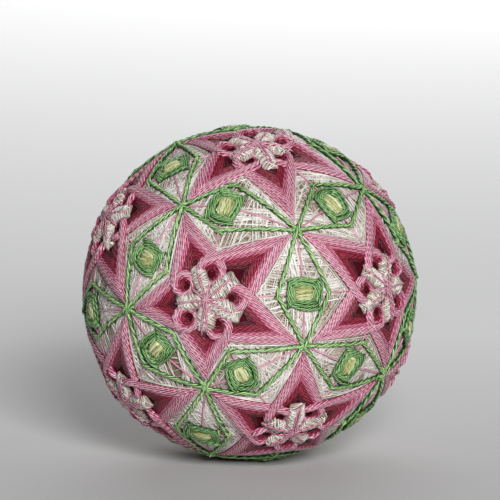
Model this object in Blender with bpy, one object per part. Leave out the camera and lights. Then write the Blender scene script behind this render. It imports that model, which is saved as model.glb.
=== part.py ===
"""Temari ball: a thread-wound ball embroidered on the old division into ten.

Twelve five-pointed stars sit on the corners of an icosahedron, each with a five-petalled
flower in its hollow. Green threads make a diamond across each of the thirty edges, all
meeting at the twenty crossings, and a small square is stitched in the middle of each diamond.
Every motif is worked out from the division and a few real sizes, in metres, +Z up.
The ball rests on the pressed stitches round the lowest green corner.
"""

import math
from itertools import combinations

import bmesh
import bpy
from mathutils import Matrix, Quaternion, Vector

MM = 0.001
DEG = math.pi / 180

# The wound ball and how high its centre stands over the surface
BALL_RADIUS = 36.4 * MM
CENTRE_HEIGHT = 37.2 * MM
CENTRE = Vector((0, 0, CENTRE_HEIGHT))
BALL_SUBDIVISIONS = 4

# How the division is turned: the first star's azimuth from -Y, its height, and the roll about it
FIRST_STAR_AZIMUTH = -12.7 * DEG
FIRST_STAR_HEIGHT = 7.2 * DEG
FIRST_STAR_ROLL = 7.9 * DEG

# Heights over the wound ball: stitches stand clear of it by the under side's gap
UNDER_STITCHES = 0.5 * MM
STAR_EDGE = 1.0 * MM
STAR_CREST = 1.5 * MM
STAR_LOOP_EDGE = 1.5 * MM
STAR_LOOP = 2.1 * MM
STAR_LOOP_FOOT = 1.3 * MM
STAR_HOLLOW = 1.0 * MM
FLOWER_UNDER = 1.4 * MM
FLOWER_EDGE = 1.9 * MM
FLOWER_CROWN = 2.2 * MM
GREEN_TOP = 1.1 * MM
SQUARE_EDGE = 1.0 * MM
SQUARE_CREST = 1.4 * MM
SQUARE_CENTRE = 1.1 * MM

# The star: tips towards the crossings, notches towards the squares, as arcs from its middle
STAR_TIP_SHARE = 0.915
STAR_NOTCH_ARC = 15.0 * DEG
STAR_RING_SHARES = (1.0, 0.86, 0.62, 0.31)
STAR_KNOB_SHARE = 0.8

# The flower: each petal points at a star tip, and has a blunt end
PETAL_LENGTH = 9.0 * MM
PETAL_SHOULDER = 8.6 * MM
PETAL_SHOULDER_ANGLE = 13.0 * DEG
PETAL_VALLEY = 3.9 * MM
FLOWER_CROWN_SHARE = 0.72

# The green threads and the diamond's blunt corners, as an arc from its middle
GREEN_WIDTH = 0.95 * MM
DIAMOND_CORNER_ARC = 9.4 * DEG
GREEN_STEPS = 3

# The square's half sizes, along and across the diamond
SQUARE_HALF_LONG = 3.6 * MM
SQUARE_HALF_WIDE = 3.3 * MM
SQUARE_CORNER_SHARE = 0.58
SQUARE_GAP = 0.35 * MM

# What touches the surface is pressed flat, and the green threads end just over it
GREEN_LIFT = 0.15 * MM
CUTTER_SIDE = 40 * MM

# The ball was pinned by hand, so its marks wander: mm to the east and mm to the north of each place
WANDER = {
    # kind: {number: (east, north)}
    "star": {0: (-1.1, -0.3), 1: (1.2, -1.9), 2: (-1.1, 0.3), 3: (2.7, 1.0), 4: (0.9, -1.0), 5: (-1.1, 2.0)},
    "crossing": {0: (0.5, -0.4), 1: (-0.8, 0.8), 2: (1.2, -0.5), 3: (2.2, 0.1), 4: (1.8, 2.6),
                 5: (-1.6, -1.0), 6: (-0.1, 0.7)},
    "square": {0: (-0.1, -1.0), 1: (-2.4, 1.2), 2: (1.6, -0.8), 3: (0.9, 2.0), 4: (-2.6, 1.0),
               5: (-0.7, -0.9), 6: (-1.0, 0.6), 9: (0.2, -0.5), 15: (0.2, 0.2)},
}


def clear_scene():
    """Take away what the scene starts with."""
    for thing in list(bpy.data.objects):
        bpy.data.objects.remove(thing, do_unlink=True)


def division():
    """The even division: twelve star middles, twenty crossings and thirty diamond middles."""
    lean = math.atan(2.0)
    upper = [Vector((0, 0, 1))]
    for step in range(5):
        turn = step * 72 * DEG
        upper.append(Vector((math.sin(lean) * math.cos(turn), math.sin(lean) * math.sin(turn), math.cos(lean))))
    stars = upper + [-point for point in upper]
    near = [pair for pair in combinations(range(12), 2) if stars[pair[0]].dot(stars[pair[1]]) > 0.4]
    crossings = []
    for a, b, c in combinations(range(12), 3):
        if (a, b) in near and (b, c) in near and (a, c) in near:
            crossings.append((stars[a] + stars[b] + stars[c]).normalized())
    squares = [(stars[a] + stars[b]).normalized() for a, b in near]
    roll = Matrix.Rotation(FIRST_STAR_ROLL, 3, "Z")
    tilt = Matrix.Rotation(math.pi / 2 - FIRST_STAR_HEIGHT, 3, "X")
    swing = Matrix.Rotation(FIRST_STAR_AZIMUTH, 3, "Z")
    turned = swing @ tilt @ roll
    return {"star": [turned @ p for p in stars],
            "crossing": [turned @ p for p in crossings],
            "square": [turned @ p for p in squares]}


def wandered(even):
    """The marks as they were pinned, each moved along the ball by its own small wander."""
    pinned = {}
    for kind, points in even.items():
        pinned[kind] = []
        for number, point in enumerate(points):
            east_mm, north_mm = WANDER[kind].get(number, (0.0, 0.0))
            east = Vector((0, 0, 1)).cross(point).normalized()
            north = point.cross(east)
            moved = point + (east * east_mm + north * north_mm) * MM / BALL_RADIUS
            pinned[kind].append(moved.normalized())
    return pinned


def toward(start, end, arc):
    """The direction reached by going from start towards end by an arc."""
    axis = start.cross(end).normalized()
    return Quaternion(axis, arc) @ start


def local_point(middle, along, across, x, y):
    """The direction at x along and y across, in metres on the ball, from a middle."""
    return (middle + (along * x + across * y) / BALL_RADIUS).normalized()


def around(middle, points, first=None):
    """Numbers of the points in order of their bearing round a middle, from the first one's bearing."""
    start = points[first] if first is not None else points[min(points)]
    ahead = (start - middle * start.dot(middle)).normalized()
    left = middle.cross(ahead)

    def bearing(number):
        point = points[number]
        return math.atan2(point.dot(left), point.dot(ahead)) % (2 * math.pi - 1e-6)

    return sorted(points, key=bearing)


def neighbours(even, middle, kind, reach):
    """Numbers and directions of the marks of a kind within a reach, in degrees, of a middle."""
    found = {}
    for number, point in enumerate(even[kind]):
        if 0.1 * DEG < middle.angle(point) < reach * DEG:
            found[number] = point
    return found


def new_material(name, colour, roughness):
    """A plain fabric material."""
    material = bpy.data.materials.new(name)
    material.use_nodes = True
    shader = material.node_tree.nodes["Principled BSDF"]
    shader.inputs["Base Color"].default_value = (*colour, 1.0)
    shader.inputs["Roughness"].default_value = roughness
    shader.inputs["Metallic"].default_value = 0.0
    return material


def add_object(name, mesh, collection, material):
    """Put a finished mesh in the collection, shaded smooth but for its rims."""
    mesh.shade_smooth()
    mesh.set_sharp_from_angle(angle=50 * DEG)
    piece = bpy.data.objects.new(name, mesh)
    piece.data.materials.append(material)
    collection.objects.link(piece)
    return piece


def close_patch(name, patch, under):
    """Give an open patch on the ball its thickness, down to a height over the wound ball."""
    grown = bmesh.ops.extrude_face_region(patch, geom=patch.faces[:])
    for item in grown["geom"]:
        if isinstance(item, bmesh.types.BMVert):
            item.co = CENTRE + (item.co - CENTRE).normalized() * (BALL_RADIUS + under)
    bmesh.ops.triangulate(patch, faces=patch.faces[:])
    bmesh.ops.recalc_face_normals(patch, faces=patch.faces[:])
    mesh = bpy.data.meshes.new(name)
    patch.to_mesh(mesh)
    patch.free()
    return mesh


def ringed_patch(middle, outline, shares, heights, middle_height):
    """An open patch of rings drawn in from an outline of directions to its middle.

    heights gives, for each ring, one height for each point of the outline.
    """
    patch = bmesh.new()
    rings = []
    for share, ring_heights in zip(shares, heights):
        ring = []
        for point, height in zip(outline, ring_heights):
            direction = toward(middle, point, middle.angle(point) * share)
            ring.append(patch.verts.new(CENTRE + direction * (BALL_RADIUS + height)))
        rings.append(ring)
    top = patch.verts.new(CENTRE + middle * (BALL_RADIUS + middle_height))
    count = len(outline)
    for outer, inner in zip(rings, rings[1:]):
        for k in range(count):
            patch.faces.new((outer[k], outer[(k + 1) % count], inner[(k + 1) % count], inner[k]))
    for k in range(count):
        patch.faces.new((rings[-1][k], rings[-1][(k + 1) % count], top))
    return patch


def press_flat(piece, cutter):
    """Trim a piece to the cutter's top face."""
    trim = piece.modifiers.new("pressed", "BOOLEAN")
    trim.operation = "DIFFERENCE"
    trim.object = cutter
    trim.solver = "EXACT"


def floor_cutter(name, top, cutters):
    """A block under the ball whose top face is where the stitches are pressed flat."""
    bpy.ops.mesh.primitive_cube_add(size=CUTTER_SIDE, location=(0, 0, top - CUTTER_SIDE / 2))
    block = bpy.context.active_object
    block.name = name
    for home in list(block.users_collection):
        home.objects.unlink(block)
    cutters.objects.link(block)
    block.hide_render = True
    block.display_type = "WIRE"
    return block


def make_wound_ball(collection, material):
    """The ball of wound thread."""
    bpy.ops.mesh.primitive_ico_sphere_add(subdivisions=BALL_SUBDIVISIONS, radius=BALL_RADIUS, location=CENTRE)
    ball = bpy.context.active_object
    ball.name = "thread_ball"
    for home in list(ball.users_collection):
        home.objects.unlink(ball)
    collection.objects.link(ball)
    ball.data.shade_smooth()
    ball.data.materials.append(material)


def make_star(number, even, marks, collection, material):
    """One star: a raised band along its edges, a loop knob at each notch, a hollow in the middle."""
    middle = marks["star"][number]
    tips = neighbours(even, even["star"][number], "crossing", 40)
    notches = neighbours(even, even["star"][number], "square", 35)
    tip_order = around(even["star"][number], tips)
    both = dict(notches)
    both[-1] = tips[tip_order[0]]
    notch_order = [k for k in around(even["star"][number], both, first=-1) if k != -1]
    outline = []
    knobs = []
    for k in range(5):
        tip_mark = marks["crossing"][tip_order[k]]
        next_mark = marks["crossing"][tip_order[(k + 1) % 5]]
        notch_mark = marks["square"][notch_order[k]]
        tip = toward(middle, tip_mark, middle.angle(tip_mark) * STAR_TIP_SHARE)
        next_tip = toward(middle, next_mark, middle.angle(next_mark) * STAR_TIP_SHARE)
        notch = toward(middle, notch_mark, STAR_NOTCH_ARC)
        before = tip.lerp(notch, STAR_KNOB_SHARE).normalized()
        after = next_tip.lerp(notch, STAR_KNOB_SHARE).normalized()
        outline += [tip, (tip + notch).normalized(), before, notch, after, (notch + next_tip).normalized()]
        knobs += [False, False, False, True, False, False]
    edge = [STAR_LOOP_EDGE if knob else STAR_EDGE for knob in knobs]
    crest = [STAR_LOOP if knob else STAR_CREST for knob in knobs]
    foot = [STAR_LOOP_FOOT if knob else STAR_HOLLOW for knob in knobs]
    heights = (edge, crest, foot, [STAR_HOLLOW] * len(outline))
    patch = ringed_patch(middle, outline, STAR_RING_SHARES, heights, STAR_HOLLOW)
    name = f"star_{number + 1:02d}"
    return add_object(name, close_patch(name, patch, UNDER_STITCHES), collection, material)


def make_flower(number, even, marks, collection, material):
    """The five-petalled flower in a star's hollow."""
    middle = marks["star"][number]
    tips = neighbours(even, even["star"][number], "crossing", 40)
    outline = []
    for tip_number in around(even["star"][number], tips):
        tip_mark = marks["crossing"][tip_number]
        along = (tip_mark - middle * tip_mark.dot(middle)).normalized()
        across = middle.cross(along)
        corners = ((PETAL_SHOULDER, -PETAL_SHOULDER_ANGLE), (PETAL_LENGTH, 0.0),
                   (PETAL_SHOULDER, PETAL_SHOULDER_ANGLE), (PETAL_VALLEY, 36 * DEG))
        for reach, bearing in corners:
            x = reach * math.cos(bearing)
            y = reach * math.sin(bearing)
            outline.append(local_point(middle, along, across, x, y))
    count = len(outline)
    heights = ([FLOWER_EDGE] * count, [FLOWER_CROWN] * count)
    patch = ringed_patch(middle, outline, (1.0, FLOWER_CROWN_SHARE), heights, FLOWER_CROWN)
    name = f"flower_{number + 1:02d}"
    return add_object(name, close_patch(name, patch, FLOWER_UNDER), collection, material)


def diamond_of(number, even, marks):
    """A diamond's two crossings and two blunt corners, each corner with its star's number."""
    even_middle = even["square"][number]
    middle = marks["square"][number]
    crossings = sorted(neighbours(even, even_middle, "crossing", 25))
    corners = {}
    for star in sorted(neighbours(even, even_middle, "star", 35)):
        corners[star] = toward(middle, marks["star"][star], DIAMOND_CORNER_ARC)
    return crossings, corners


def edge_distance(point, start, end):
    """Distance on the ball, in metres, from a point to the thread between two ends."""
    side = start.cross(end).normalized()
    return abs(math.asin(max(-1.0, min(1.0, point.dot(side))))) * BALL_RADIUS


def make_square(number, even, marks, collection, material):
    """One square: a raised ring of green rows round a yellow middle.

    It is drawn in where its diamond is too narrow for the full size.
    """
    middle = marks["square"][number]
    crossings, corners = diamond_of(number, even, marks)
    far = marks["crossing"][crossings[0]]
    along = (far - middle * far.dot(middle)).normalized()
    across = middle.cross(along)
    blunt = SQUARE_CORNER_SHARE
    unit = [(1, -blunt), (1, blunt), (blunt, 1), (-blunt, 1), (-1, blunt), (-1, -blunt), (-blunt, -1), (blunt, -1)]
    size = 1.0
    while size > 0.7:
        outline = [local_point(middle, along, across, x * SQUARE_HALF_LONG * size, y * SQUARE_HALF_WIDE * size)
                   for x, y in unit]
        room = min(edge_distance(point, marks["crossing"][hub], corner)
                   for point in outline for hub in crossings for corner in corners.values())
        if room > GREEN_WIDTH / 2 + SQUARE_GAP:
            break
        size -= 0.01
    count = len(outline)
    heights = ([SQUARE_EDGE] * count, [SQUARE_CREST] * count, [SQUARE_CENTRE] * count)
    patch = ringed_patch(middle, outline, (1.0, 0.8, 0.52), heights, SQUARE_CENTRE)
    name = f"square_{number + 1:02d}"
    return add_object(name, close_patch(name, patch, UNDER_STITCHES), collection, material)


def bisector_point(vertex, first, second, width):
    """Where the facing edges of two threads meet, the threads running from vertex to first and second."""
    a = (first - vertex * first.dot(vertex)).normalized()
    b = (second - vertex * second.dot(vertex)).normalized()
    middle = (a + b).normalized()
    half = a.angle(b) / 2
    reach = width / 2 / math.sin(half)
    return (vertex + middle * reach / BALL_RADIUS).normalized(), middle, half


def make_lattice(even, marks, collection, material):
    """All the green diamonds as one net of flat threads, joined where they cross."""
    patch = bmesh.new()
    radius = BALL_RADIUS + GREEN_TOP

    def vert(direction):
        return patch.verts.new(CENTRE + direction * radius)

    # Each hub is a six-sided plate, whose sides are the roots of its six threads
    threads = {}
    for number in range(30):
        crossings, corners = diamond_of(number, even, marks)
        for hub in crossings:
            for star, corner in corners.items():
                threads.setdefault(hub, {})[(number, star)] = corner
    roots = {}
    for hub, ends in threads.items():
        middle = marks["crossing"][hub]
        order = around(middle, ends)
        points = []
        for k in range(6):
            direction, _, _ = bisector_point(middle, ends[order[k]], ends[order[(k + 1) % 6]], GREEN_WIDTH)
            points.append(vert(direction))
        patch.faces.new(points)
        for k in range(6):
            # the root's right and left edge points, looking out along the thread
            roots[(hub, *order[k])] = (points[k - 1], points[k])

    # Each side of a diamond is a strip from its hub to the blunt corner
    for number in range(30):
        crossings, corners = diamond_of(number, even, marks)
        for star, corner in corners.items():
            ends = [marks["crossing"][hub] for hub in crossings]
            inner_direction, middle, half = bisector_point(corner, ends[0], ends[1], GREEN_WIDTH)
            outer_direction = (corner - middle * (GREEN_WIDTH / 2 / math.sin(half)) / BALL_RADIUS).normalized()
            inner = vert(inner_direction)
            outer = vert(outer_direction)
            for hub in crossings:
                right, left = roots[(hub, number, star)]
                run = corner - marks["crossing"][hub]
                left_side = marks["crossing"][hub].cross(run)
                is_left = (inner_direction - corner).dot(left_side) > 0
                end_left, end_right = (inner, outer) if is_left else (outer, inner)
                for step in range(1, GREEN_STEPS + 1):
                    share = step / GREEN_STEPS
                    if step == GREEN_STEPS:
                        next_left, next_right = end_left, end_right
                    else:
                        middle_line = marks["crossing"][hub].lerp(corner, share).normalized()
                        side = middle_line.cross(run).normalized() * (GREEN_WIDTH / 2 / BALL_RADIUS)
                        next_left = vert((middle_line + side).normalized())
                        next_right = vert((middle_line - side).normalized())
                    patch.faces.new((right, next_right, next_left, left))
                    right, left = next_right, next_left
    name = "diamond_lattice"
    return add_object(name, close_patch(name, patch, UNDER_STITCHES), collection, material)


def lowest(piece):
    """A piece's lowest height."""
    return min(vertex.co.z for vertex in piece.data.vertices)


def main():
    """Build every piece."""
    clear_scene()
    collection = bpy.data.collections.new("temari_ball")
    cutters = bpy.data.collections.new("cutters")
    bpy.context.scene.collection.children.link(collection)
    bpy.context.scene.collection.children.link(cutters)

    cream = new_material("cream_thread", (0.72, 0.66, 0.58), 0.85)
    white = new_material("white_thread", (0.80, 0.76, 0.70), 0.8)
    pink = new_material("pink_thread", (0.72, 0.24, 0.34), 0.7)
    green = new_material("green_thread", (0.12, 0.32, 0.10), 0.7)
    leaf = new_material("green_square_thread", (0.14, 0.34, 0.10), 0.7)

    even = division()
    marks = wandered(even)
    floor = floor_cutter("floor_press", 0.0, cutters)
    green_floor = floor_cutter("green_press", GREEN_LIFT, cutters)

    make_wound_ball(collection, cream)
    stitched = []
    for number in range(12):
        stitched.append(make_star(number, even, marks, collection, pink))
        stitched.append(make_flower(number, even, marks, collection, white))
    for number in range(30):
        stitched.append(make_square(number, even, marks, collection, leaf))
    for piece in stitched:
        if lowest(piece) < 0:
            press_flat(piece, floor)
    press_flat(make_lattice(even, marks, collection, green), green_floor)


main()
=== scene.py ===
"""The looks of the temari ball: every thread that shows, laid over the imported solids.

The ball is wound with fine cream thread. Pink pearl cotton makes twelve stars, whose rows cross
at each notch and loop round a dark eye. Cream flowers with pink spokes fill their hollows. Green
two-ply threads make the diamonds, and a green square with a yellow middle fills each diamond.
"""

import math
from itertools import combinations

import bpy
import numpy as np
from bpy.props import FloatProperty, FloatVectorProperty, IntProperty, PointerProperty
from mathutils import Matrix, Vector


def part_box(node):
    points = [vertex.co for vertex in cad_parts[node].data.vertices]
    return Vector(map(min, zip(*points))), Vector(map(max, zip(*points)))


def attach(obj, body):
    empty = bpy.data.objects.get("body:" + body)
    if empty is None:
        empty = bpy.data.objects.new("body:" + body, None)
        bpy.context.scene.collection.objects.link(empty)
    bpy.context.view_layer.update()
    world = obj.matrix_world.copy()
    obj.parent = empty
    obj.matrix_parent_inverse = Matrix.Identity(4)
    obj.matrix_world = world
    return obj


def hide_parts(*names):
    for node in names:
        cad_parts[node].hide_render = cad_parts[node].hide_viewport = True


bl_info = {
    "name": "Temari ball",
    "version": (1, 0, 0),
    "blender": (4, 5, 0),
    "location": "View3D > Sidebar > Temari",
    "description": "Lays the threads of an embroidered temari ball over its solids",
    "category": "Object",
}

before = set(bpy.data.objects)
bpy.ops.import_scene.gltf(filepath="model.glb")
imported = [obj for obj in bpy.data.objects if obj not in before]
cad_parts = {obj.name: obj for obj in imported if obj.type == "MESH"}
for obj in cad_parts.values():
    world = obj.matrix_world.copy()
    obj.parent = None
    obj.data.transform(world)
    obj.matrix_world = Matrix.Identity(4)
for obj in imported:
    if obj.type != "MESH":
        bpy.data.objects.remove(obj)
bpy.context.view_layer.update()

MM = 0.001
DEG = math.pi / 180
TURN = 2 * math.pi

# The wound ball, as its solid gives it
BALL_LOW, BALL_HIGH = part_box("thread_ball")
CENTRE = np.array([0.0, 0.0, (BALL_LOW.z + BALL_HIGH.z) / 2])
BALL_RADIUS = (BALL_HIGH.z - BALL_LOW.z) / 2

# How the division is turned, as in the solids
FIRST_STAR_AZIMUTH = -12.7 * DEG
FIRST_STAR_HEIGHT = 7.2 * DEG
FIRST_STAR_ROLL = 7.9 * DEG

# Where the hand-pinned marks wander to: mm to the east and mm to the north of each even place
WANDER = {
    "star": {0: (-1.1, -0.3), 1: (1.2, -1.9), 2: (-1.1, 0.3), 3: (2.7, 1.0), 4: (0.9, -1.0), 5: (-1.1, 2.0)},
    "crossing": {0: (0.5, -0.4), 1: (-0.8, 0.8), 2: (1.2, -0.5), 3: (2.2, 0.1), 4: (1.8, 2.6),
                 5: (-1.6, -1.0), 6: (-0.1, 0.7)},
    "square": {0: (-0.1, -1.0), 1: (-2.4, 1.2), 2: (1.6, -0.8), 3: (0.9, 2.0), 4: (-2.6, 1.0),
               5: (-0.7, -0.9), 6: (-1.0, 0.6), 9: (0.2, -0.5), 15: (0.2, 0.2)},
}

# The photograph's framing, in its own pixels, and how far above level the camera looks from
PHOTO_SIDE = 500
BALL_MIDDLE_X = 249.5
BALL_MIDDLE_Y = 292.9
BALL_OUTLINE_RADIUS = 167.9
OUTLINE_RADIUS = 37.5 * MM
CAMERA_ELEVATION = 9 * DEG
CAMERA_DISTANCE = 1.5
SENSOR = 36.0


def srgb(code):
    """A #rrggbb colour as linear values: each channel is (c + 0.055) / 1.055 to the power 2.4."""
    channels = [int(code[k:k + 2], 16) / 255 for k in (1, 3, 5)]
    return tuple(c / 12.92 if c <= 0.04045 else ((c + 0.055) / 1.055) ** 2.4 for c in channels)


# The division


def unit(vectors):
    """Vectors scaled to length one along their last axis."""
    vectors = np.asarray(vectors, float)
    return vectors / np.linalg.norm(vectors, axis=-1, keepdims=True)


def turn_about(axis, angle):
    """The matrix that turns about X or Z by an angle."""
    c, s = math.cos(angle), math.sin(angle)
    if axis == "X":
        return np.array([[1, 0, 0], [0, c, -s], [0, s, c]])
    return np.array([[c, -s, 0], [s, c, 0], [0, 0, 1]])


def even_division():
    """Star middles, crossings and diamond middles of the even ball, as directions."""
    lean = math.atan(2.0)
    turns = np.arange(5) * 72 * DEG
    ring = np.stack([math.sin(lean) * np.cos(turns), math.sin(lean) * np.sin(turns),
                     np.full(5, math.cos(lean))], axis=1)
    upper = np.vstack([[0, 0, 1], ring])
    stars = np.vstack([upper, -upper])
    near = [(a, b) for a, b in combinations(range(12), 2) if stars[a] @ stars[b] > 0.4]
    crossings = [stars[a] + stars[b] + stars[c] for a, b, c in combinations(range(12), 3)
                 if (a, b) in near and (b, c) in near and (a, c) in near]
    squares = [stars[a] + stars[b] for a, b in near]
    turned = (turn_about("Z", FIRST_STAR_AZIMUTH) @ turn_about("X", math.pi / 2 - FIRST_STAR_HEIGHT)
              @ turn_about("Z", FIRST_STAR_ROLL))
    marks = {"star": stars, "crossing": unit(crossings), "square": unit(squares)}
    return {kind: points @ turned.T for kind, points in marks.items()}


def pinned_division(even):
    """The marks where they were pinned: each moved along the ball by its wander."""
    pinned = {}
    for kind, points in even.items():
        moves = np.zeros((len(points), 2))
        for number, move in WANDER[kind].items():
            moves[number] = move
        east = unit(np.cross([0, 0, 1], points))
        north = np.cross(points, east)
        pinned[kind] = unit(points + (east * moves[:, :1] + north * moves[:, 1:]) * MM / BALL_RADIUS)
    return pinned


EVEN = even_division()
MARKS = pinned_division(EVEN)


def arc_between(a, b):
    """The angle between two directions."""
    return math.acos(max(-1.0, min(1.0, float(np.dot(a, b)))))


def along_arc(start, end, arc):
    """The direction reached from start towards end after an arc."""
    side = unit(end - start * np.dot(start, end))
    return start * math.cos(arc) + side * math.sin(arc)


class Patch:
    """A flat drawing plane laid on the ball at a middle, in metres, with X ahead and Y to its left.

    A point (x, y) of the plane goes to the direction middle + (x ahead + y left) / ball radius,
    so that straight lines of the plane are pulled-tight threads on the ball.
    """

    def __init__(self, middle, ahead):
        self.middle = middle
        self.ahead = unit(ahead - middle * np.dot(middle, ahead))
        self.left = np.cross(middle, self.ahead)

    def directions(self, xy):
        """Plane points to directions."""
        xy = np.asarray(xy, float)
        return unit(self.middle + (xy[..., :1] * self.ahead + xy[..., 1:2] * self.left) / BALL_RADIUS)

    def plane(self, direction):
        """A direction to its plane point."""
        depth = np.dot(direction, self.middle)
        return np.array([np.dot(direction, self.ahead), np.dot(direction, self.left)]) / depth * BALL_RADIUS

    def bearing(self, direction):
        """The bearing of a direction from ahead, turning left."""
        x, y = self.plane(direction)
        return math.atan2(y, x) % TURN


def near_marks(middle, kind, reach):
    """Numbers of the even marks of a kind within a reach, in degrees, of an even middle."""
    arcs = np.arccos(np.clip(EVEN[kind] @ middle, -1, 1))
    return [int(k) for k in np.nonzero((arcs > 0.1 * DEG) & (arcs < reach * DEG))[0]]


def star_layout(number):
    """A star's patch, its five crossings and its five squares, in order round it."""
    even = EVEN["star"][number]
    tips = near_marks(even, "crossing", 40)
    even_patch = Patch(even, EVEN["crossing"][tips[0]])
    tips.sort(key=lambda k: (even_patch.bearing(EVEN["crossing"][k]) + 0.1) % TURN)
    notches = sorted(near_marks(even, "square", 35), key=lambda k: even_patch.bearing(EVEN["square"][k]))
    patch = Patch(MARKS["star"][number], MARKS["crossing"][tips[0]])
    return patch, tips, notches


def diamond_layout(number):
    """A diamond's two crossings and its two stars."""
    even = EVEN["square"][number]
    return near_marks(even, "crossing", 25), near_marks(even, "star", 35)


# Threads

# The two plies: how far each lies from the thread's middle, and its width, as shares of the thread
PLY_OFFSET = 0.14
PLY_WIDTH = 0.7
# A thread's UV lengths are in centimetres
UV_SCALE = 100


def path_frame(path, out, closed):
    """A path's side and up directions at each point, and its length so far.

    Side is the path's tangent crossed with the outward direction, and up is side crossed with
    tangent. A closed path has one length more, for its way back to the start.
    """
    if closed:
        tangent = np.roll(path, -1, axis=0) - np.roll(path, 1, axis=0)
        steps = np.linalg.norm(np.roll(path, -1, axis=0) - path, axis=1)
    else:
        tangent = np.gradient(path, axis=0)
        steps = np.linalg.norm(np.diff(path, axis=0), axis=1)
    tangent = unit(tangent)
    side = unit(np.cross(tangent, out))
    return side, np.cross(side, tangent), np.concatenate([[0], np.cumsum(steps)])


def over_ball(directions, height):
    """Points over the wound ball, at one height or at a height each."""
    return CENTRE + directions * np.reshape(BALL_RADIUS + height, (-1, 1))


def line_through(stops, step):
    """Points a step apart on straight lines from stop to stop, each a plane point and a height."""
    stops = np.array([[*place, height] for place, height in stops])
    stretches = []
    for a, b in zip(stops, stops[1:]):
        count = max(2, int(np.linalg.norm(b[:2] - a[:2]) / step))
        share = np.arange(count)[:, None] / count
        stretches.append(a + (b - a) * share)
    return np.concatenate([*stretches, stops[-1:]])


def eased_loop(points, step, bend):
    """A closed path with its corners eased, read again with its points closer where it bends.

    Each of two passes weighs a point 1/2 and its two neighbours 1/4. Then each stretch costs its
    length over step plus its turning over bend, and the new points stand at equal costs. points
    holds plane x, plane y and height.
    """
    for _ in range(2):
        points = np.roll(points, 1, axis=0) / 4 + points / 2 + np.roll(points, -1, axis=0) / 4
    points = np.vstack([points, points[:1]])
    delta = np.diff(points, axis=0)
    length = np.linalg.norm(delta[:, :2], axis=1)
    heading = np.unwrap(np.arctan2(delta[:, 1], delta[:, 0]))
    turning = np.abs(np.diff(heading, prepend=heading[:1]))
    cost = np.concatenate([[0], np.cumsum(length / step + turning / bend)])
    wanted = np.linspace(0, cost[-1], max(3, math.ceil(cost[-1]) + 1))
    return np.stack([np.interp(wanted, cost, column) for column in points.T], axis=1)[:-1]


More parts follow.
